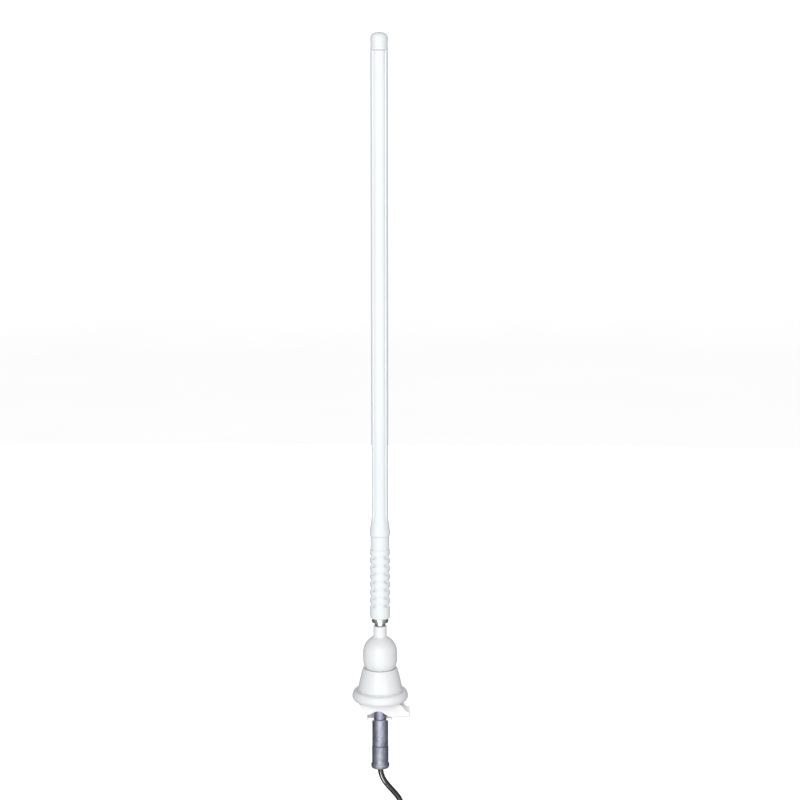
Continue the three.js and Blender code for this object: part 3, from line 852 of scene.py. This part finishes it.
# ---------------------------------------------------------------- base
SEAT_RADIUS = 15.2  # of the spherical seat in the bell's mouth
SCREW_CIRCLE = 13
SCREW_HOLE = 1.5
SCREW_ANGLES = [math.pi / 2 + TURN * i / 3 for i in range(3)]
SCREW_PLACES = [(SCREW_CIRCLE * math.cos(a), SCREW_CIRCLE * math.sin(a)) for a in SCREW_ANGLES]


def rod_mesh(radius, bottom, top, steps=32):
    return revolve([(0, bottom), (radius, bottom), (radius, top), (0, top)], steps)


def bell_housing():
    """The bell, with its rolled brim, the crease behind it and a boss for each screw."""
    profile = rounded([
        (20.9, 0, 0.3), (22.7, 0, 0.8), (24.25, 2.2, 2.2), (24.3, 4.6, 2.2), (23.3, 7.7, 2.2),
        (21.7, 9.0, 1.0), (20.6, 7.7, 0.4), (19.6, 7.6, 0.3), (18.9, 8.7, 0.2), (19.4, 9.9, 0.3),
        (17.7, 18.2, 3), (15.35, 27.6, 2), (15.0, 28.7, 0.5), (14.1, 28.7, 0.3),
    ], 5)
    profile += arc(0, PIVOT_Z, SEAT_RADIUS, -30.9, -41.4, 6)[1:]
    profile += [(11.4, 19.9), (14.6, 19.9), (16.2, 9), (16.2, 5.3), (17.3, 5.3), (17.3, 2.6)]
    profile.append((20.9, 2.6))
    mesh = revolve(profile, 128)
    for x, y in SCREW_PLACES:
        boss = shifted(rod_mesh(2.6, 5.3, 14.4), x, y)
        hole = shifted(rod_mesh(SCREW_HOLE, 4, 13.5), x, y)
        mesh = combine(combine(mesh, "UNION", boss), "DIFFERENCE", hole)
    return named_piece("bell_housing", mesh, 36)


def base_gasket():
    bottom, top = span("base_gasket")
    profile = [(16.6, bottom, 0.4), (20.6, bottom, 0.4), (20.6, top, 0.3), (16.6, top, 0.3)]
    return turned("base_gasket", rounded(profile))


def flatted_outline(radius, flat, steps=20):
    """A circle with two flats at y = +-flat."""
    edge = math.degrees(math.asin(flat / radius))
    right = arc(0, 0, radius, -edge, edge, steps)
    return right + arc(0, 0, radius, 180 - edge, 180 + edge, steps)


def base_plate():
    holes = [flatted_outline(5.3, 4.8)]
    holes += [circle(SCREW_HOLE, 24, x, y) for x, y in SCREW_PLACES]
    return named_piece("base_plate", plate_mesh(circle(17, 96), holes, *span("base_plate"), 0.2))


def base_screws():
    """Pan-head screws with a cross recess, each turned as far as it happened to go in."""
    profile = rounded([
        (0, 0.9), (1.7, 0.95, 0.8), (2.4, 1.5, 0.4), (2.4, 2.3, 0.1), (1.2, 2.3), (1.2, 12),
        (0, 13),
    ])
    for i, (x, y) in enumerate(SCREW_PLACES):
        recess = []
        for angle in (0.3 + i, 0.3 + i + TURN / 4):
            arm = box_mesh((-1.25, -0.28, 0.4), (1.25, 0.28, 1.75))
            recess.append(moved(arm, Matrix.Rotation(angle, 4, "Z")))
        screw = combine(revolve(profile, 48), "DIFFERENCE", *recess)
        named_piece(f"base_screw_{i + 1}", shifted(screw, x, y))


# ---------------------------------------------------------------- clamp
NECK_FLAT = 4.5  # distance of the threaded neck's two flats from its axis
HOLE_RADIUS = 5.3  # of the saddle's hole and the yoke's slot for the neck


def clamp_tube():
    """The threaded neck with its two flats, and the tube under it."""
    bottom, top = span("clamp_tube")
    profile = rounded([
        (3.9, top), (3.9, -20.5), (5.6, -21.5), (5.6, bottom), (6.3, bottom, 0.2), (6.3, -41.6),
        (6.75, -41.6, 0.25), (7.0, -41.0, 0.4), (7.0, -17.6, 0.2), (6.8, -17.4, 0.1),
        (5, -17.4, 0.3), (5, top, 0.4),
    ])
    front = box_mesh((-9, -9, -1), (9, -NECK_FLAT, 13))
    back = box_mesh((-9, NECK_FLAT, -1), (9, 9, 13))
    return named_piece("clamp_tube", combine(revolve(profile), "DIFFERENCE", front, back), 30)


def clamp_saddle():
    """Stamped saddle: a web on top and two side walls with an arch over the tube."""
    profile = rounded([
        (-18.6, -2.3, 1.4), (-12.3, -12.6, 0.8), (-8.3, -11.6, 0.8), (-5.4, -9.7, 1.6),
        (-2, -8.7, 1.6), (1.8, -9.6, 1.6), (4.8, -11.8, 1.6), (7.5, -13.9, 1.4),
        (25.7, -14.2, 0.5), (26, -9, 0.5), (22.8, -8.5, 0.8), (18, -2.3, 1.4),
    ], 5)
    swap_y_z = Matrix(((1, 0, 0, 0), (0, 0, 1, 0), (0, 1, 0, 0), (0, 0, 0, 1)))
    block = moved(plate_mesh(profile, [], -8, 8, 0.75, 3), swap_y_z)
    inside = bevelled(box_mesh((-40, -6.4, -40), (40, 6.4, -3.9)), 0.7, 3)
    hole = rod_mesh(HOLE_RADIUS, -10, 2, 64)
    return named_piece("clamp_saddle", combine(block, "DIFFERENCE", inside, hole), 38)


def clamp_yoke():
    """A U-shaped plate, open to the front, that is pushed in over the neck."""
    start, end = corners("clamp_yoke")
    outline = rounded([
        (start.x, start.y, 1.6), (-HOLE_RADIUS, start.y, 0.6),
        *arc(0, 0, HOLE_RADIUS, 180, 0, 24),
        (HOLE_RADIUS, start.y, 0.6), (end.x, start.y, 1.6),
        (end.x, end.y, 2.4), (start.x, end.y, 2.4),
    ], 5)
    return named_piece("clamp_yoke", plate_mesh(outline, [], start.z, end.z, 0.45, 3))


def cable_can():
    """The lower cup, which slides up over the tube's spigot and ends in a rolled lip."""
    profile = rounded([
        (6.6, -42), (6.95, -42, 0.2), (7.2, -42.5, 0.4), (7.15, -57.2, 0.6), (7.5, -57.9, 0.3),
        (8.0, -58.8, 0.7), (8.0, -60.4, 0.8), (7.5, -61.8, 0.8), (6.4, -62, 0.5), (4.2, -62, 0.3),
        (4.2, -60.6), (6.6, -60.6),
    ], 5)
    return turned("cable_can", profile)


def cable_grommet():
    profile = rounded([
        (2.75, -62.6, 0.3), (3.7, -62.6, 0.4), (3.9, -62.1, 0.2), (3.9, -60.3), (6.2, -60.3, 0.3),
        (6.2, -57.5, 0.3), (2.75, -57.5),
    ])
    return turned("cable_grommet", profile, 64)


mast_sleeve()
tip_cap()
for bending in (flex_boot(), flex_spring()):
    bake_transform(bending)
mast_ferrule()
ball_cover()
ball_clevis()
swivel_post()
bell_housing()
base_gasket()
base_plate()
base_screws()
clamp_tube()
clamp_saddle()
clamp_yoke()
cable_can()
cable_grommet()


# ---------------------------------------------------------------- stage
FLOOR_DROP = 0.012  # m below the lowest point
FLOOR_FLAT = 4.0  # m of flat floor round the antenna
WALL_RADIUS = 3.0  # m, of the bend up into the wall
MAST_MIDDLE = (0, 0, 0.25)  # m
AMBIENT = {"camera": 1.0, "glossy": 1.35, "diffuse": 1.0}
# greys of the room for each kind of ray, from straight behind the antenna (0) to the front (1)
ROOM = {
    "glossy": [(0.0, 0.12), (0.35, 0.1), (0.6, 0.12), (0.75, 0.22), (0.88, 0.6), (0.95, 0.95)],
    "diffuse": [(0.0, 0.4), (0.5, 0.46), (0.8, 0.7), (1.0, 0.9)],
}


def make_floor():
    """A pale floor that bends up far from the antenna, so that its edge is never seen."""
    base = (cad_low[2] - FLOOR_DROP) / MM
    flat, bend = FLOOR_FLAT / MM, WALL_RADIUS / MM
    profile = [(0, base), (flat * 0.3, base), (flat, base)]
    profile += arc(flat, base + bend, bend, -90, 0, 18)[1:]
    floor = add_object("floor", revolve(profile))
    soften(floor.data, 80)
    paint = Finish("floor_paint", Specular_IOR_Level=0.1)
    paint.colour(paint.noise(3, 2), (0.3, (0.93, 0.93, 0.93)), (0.7, (0.95, 0.95, 0.95)))
    paint.shader.inputs["Roughness"].default_value = 0.9
    paint.shader.inputs["Emission Color"].default_value = (1, 1, 1, 1)
    paint.shader.inputs["Emission Strength"].default_value = 0.5
    floor.data.materials.append(paint.material)
    floor.visible_diffuse = False
    floor.visible_glossy = False


def make_world():
    """A grey room that each kind of ray sees in its own brightness, lighter towards the front."""
    world = bpy.data.worlds.new("world")
    bpy.context.scene.world = world
    world.use_nodes = True
    tree = world.node_tree
    tree.nodes.clear()
    output = tree.nodes.new("ShaderNodeOutputWorld")
    path = tree.nodes.new("ShaderNodeLightPath")
    shaders = {}
    for kind, strength in AMBIENT.items():
        shaders[kind] = tree.nodes.new("ShaderNodeBackground")
        shaders[kind].inputs["Color"].default_value = (1, 1, 1, 1)
        shaders[kind].inputs["Strength"].default_value = strength
    place = tree.nodes.new("ShaderNodeTexCoord")
    split = tree.nodes.new("ShaderNodeSeparateXYZ")
    front = tree.nodes.new("ShaderNodeMapRange")
    front.inputs["From Min"].default_value = 1
    front.inputs["From Max"].default_value = -1
    tree.links.new(place.outputs["Generated"], split.inputs[0])
    tree.links.new(split.outputs["Y"], front.inputs["Value"])
    for kind, stops in ROOM.items():
        ramp = tree.nodes.new("ShaderNodeValToRGB")
        elements = ramp.color_ramp.elements
        while len(elements) < len(stops):
            elements.new(0.5)
        for element, (position, grey) in zip(elements, stops):
            element.position = position
            element.color = (grey, grey, grey, 1)
        tree.links.new(front.outputs[0], ramp.inputs[0])
        tree.links.new(ramp.outputs[0], shaders[kind].inputs["Color"])
    inner = tree.nodes.new("ShaderNodeMixShader")
    outer = tree.nodes.new("ShaderNodeMixShader")
    tree.links.new(path.outputs["Is Glossy Ray"], inner.inputs[0])
    tree.links.new(shaders["diffuse"].outputs[0], inner.inputs[1])
    tree.links.new(shaders["glossy"].outputs[0], inner.inputs[2])
    tree.links.new(path.outputs["Is Camera Ray"], outer.inputs[0])
    tree.links.new(inner.outputs[0], outer.inputs[1])
    tree.links.new(shaders["camera"].outputs[0], outer.inputs[2])
    tree.links.new(outer.outputs[0], output.inputs[0])


def area_light(name, place, aim, size, power):
    """A rectangular lamp at a place in metres, turned to its aim, with its power in watts."""
    data = bpy.data.lights.new(name, "AREA")
    data.shape = "RECTANGLE"
    data.size, data.size_y = size
    data.energy = power
    lamp = bpy.data.objects.new(name, data)
    lamp.location = place
    lamp.rotation_euler = (Vector(aim) - Vector(place)).to_track_quat("-Z", "Y").to_euler()
    lamp.visible_camera = False
    bpy.context.scene.collection.objects.link(lamp)
    return lamp


make_floor()
make_world()
area_light("key", (-0.5, -2.0, 0.45), MAST_MIDDLE, (0.8, 1.6), 17)
area_light("fill", (0.9, -1.8, 0.3), MAST_MIDDLE, (0.6, 1.4), 4.5)
back = area_light("back", (0.1, 2.4, 0.45), MAST_MIDDLE, (1.0, 1.6), 26)
back.visible_glossy = False  # it would light the edges of the mast's silhouette
area_light("low", (-0.25, -1.0, -0.75), (0.005, 0, -0.02), (0.5, 0.4), 9)
bpy.context.scene.view_settings.view_transform = "Standard"
bpy.context.scene.view_settings.look = "None"
